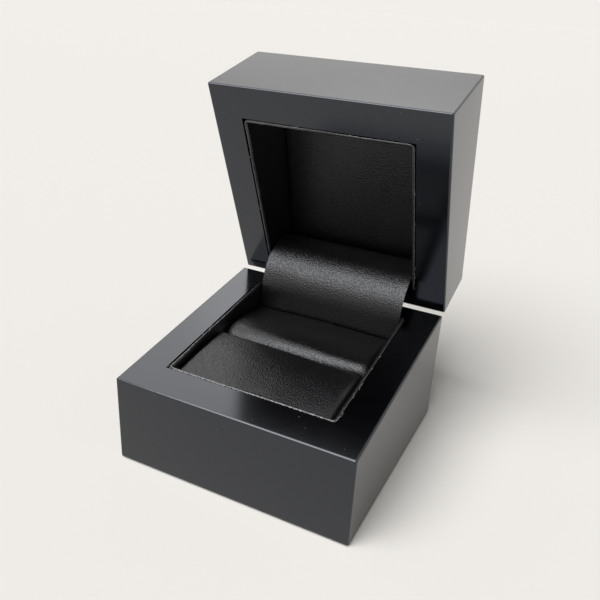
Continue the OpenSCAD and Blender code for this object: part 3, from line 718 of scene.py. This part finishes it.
front_pad = pad("front_pad", SLOT_Y - SLOT_GAP / 2, CUSHION_FRONT, FRONT_HIGH, FRONT_SLOT_R, FRONT_SAG, 3)
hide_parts("cushion_front")
rear_pad = pad("rear_pad", SLOT_Y + SLOT_GAP / 2, CUSHION_REAR, REAR_HIGH, REAR_SLOT_R, REAR_SAG, 50)
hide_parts("cushion_rear")


# Snap hinge
# Two stamped steel leaves are screwed inside the rear walls and joined by a peened pin. A flat
# spring riveted under the base leaf bears on the cam between the lid's knuckles. All are nickel
# plated, over the fine lines of the rolled strip that they were stamped from.

NICKEL_PALE = (0.66, 0.63, 0.58)
NICKEL_DULL = (0.46, 0.44, 0.41)
ROLLED_STRETCH = (0.05, 1, 1)
LINE_SIZE = 0.08
LINE_DEPTH = 0.004

nickel, shader, place = new_finish("nickel", "nickel", {"Metallic": 1.0})
lines = clouds(stretched(place, ROLLED_STRETCH), LINE_SIZE, 3.0)
tarnish = clouds(place, 3.0, 3.0).between(0.4, 0.8)
tarnish.mix(NICKEL_PALE, NICKEL_DULL).into(shader, "Base Color")
(lines * 0.12 + tarnish * 0.15 + 0.2).into(shader, "Roughness")
raise_bumps(shader, lines, LINE_DEPTH)
for node in ("hinge_base_leaf", "hinge_lid_leaf", "hinge_pin", "hinge_spring", "hinge_rivets",
             "base_screws", "lid_screws"):
    dress(node, nickel)


# Hinge strip
# A strip of leatherette hides the hinge. It is glued inside the base's rear wall, bends back in
# one curve over the gap, and is tucked behind the lid's ceiling panel.

STRIP_HALF = 25.5
STRIP_THICK = 0.5
STRIP_GLUE = 0.2
STRIP_CLEAR = 0.3
STRIP_Y = CAVITY_REAR - STRIP_GLUE - STRIP_THICK / 2
STRIP_GLUED = 10.0
STRIP_BELOW_RIM = 2.3
STRIP_LEAVES = rim_level(CAVITY_REAR) - STRIP_BELOW_RIM
CEILING_FACE = 53.3
STRIP_TUCKED = CEILING_FACE - STRIP_CLEAR - STRIP_THICK
STRIP_ENDS = opened((0, CAVITY_REAR - STRIP_CLEAR - STRIP_THICK / 2, STRIP_TUCKED))
STRIP_BACK = STRIP_ENDS[1] - STRIP_Y
STRIP_UP = STRIP_ENDS[2] - STRIP_LEAVES
STRIP_BEND = (STRIP_BACK ** 2 + STRIP_UP ** 2) / (2 * STRIP_BACK)
STRIP_TURN = math.pi / 2 + math.atan2(STRIP_BACK - STRIP_BEND, STRIP_UP)
STRIP_STEPS = 84
STRIP_ACROSS = 60
STRIP_SWELL = 0.16
STRIP_SWELL_SIZE = 11
STRIP_FIRM = 6


def strip_line(length):
    """A point in the strip's middle at a length from its glued end, and the way square to it."""
    if length <= STRIP_GLUED:
        return STRIP_Y, STRIP_LEAVES - STRIP_GLUED + length, (-1.0, 0.0)
    angle = math.pi - (length - STRIP_GLUED) / STRIP_BEND
    way = (math.cos(angle), math.sin(angle))
    return STRIP_Y + STRIP_BEND * (1 + way[0]), STRIP_LEAVES + STRIP_BEND * way[1], way


strip_length = STRIP_GLUED + STRIP_BEND * STRIP_TURN
rows = []
for k in range(STRIP_STEPS + 1):
    length = strip_length * k / STRIP_STEPS
    y, z, way = strip_line(length)
    free = min(1.0, max(0.0, (length - STRIP_GLUED) / STRIP_FIRM))
    free *= min(1.0, (strip_length - length) / STRIP_FIRM)
    loop = []
    for face in (1, -1):
        places = [STRIP_HALF * (2 * i / STRIP_ACROSS - 1) for i in range(STRIP_ACROSS + 1)]
        for x in places[::face]:
            swell = STRIP_SWELL * free * noise.noise(Vector((x, length, 7)) / STRIP_SWELL_SIZE)
            off = swell + face * STRIP_THICK / 2
            loop.append((x, y + way[0] * off, z + way[1] * off))
    rows.append(loop)
strip = new_piece("hinge_cover", None, leather, *lofted(rows), 50)
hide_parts("hinge_strip")
STRIP_LEAVES * MM
rows[-1][30][1] * MM
rows[-1][30][2] * MM
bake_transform(strip)
strip_length * MM


# Lid ceiling
# A card covered with thin foam and leatherette is glued under the lid's top board, inside the
# liner, and holds the end of the hinge strip.

CEILING_X = 25.9
CEILING_FRONT = -24.0
CEILING_REAR = 28.5
CEILING_THICK = 0.9
CEILING_CORNER = 1.5
CEILING_EDGE = 0.4
CEILING_WAVES = 0.05
CEILING_WAVE_SIZE = 8.0

rings = slab_rings(CEILING_X, (CEILING_REAR - CEILING_FRONT) / 2, CEILING_CORNER, CEILING_THICK,
                   CEILING_EDGE, CEILING_WAVES, CEILING_WAVE_SIZE)
middle = (CEILING_REAR + CEILING_FRONT) / 2
rings = [[opened((x, y + middle, z + CEILING_FACE)) for x, y, z in ring] for ring in rings]
ceiling = new_piece("ceiling_panel", "lid", leather, *lofted(rings))
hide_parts("lid_ceiling")
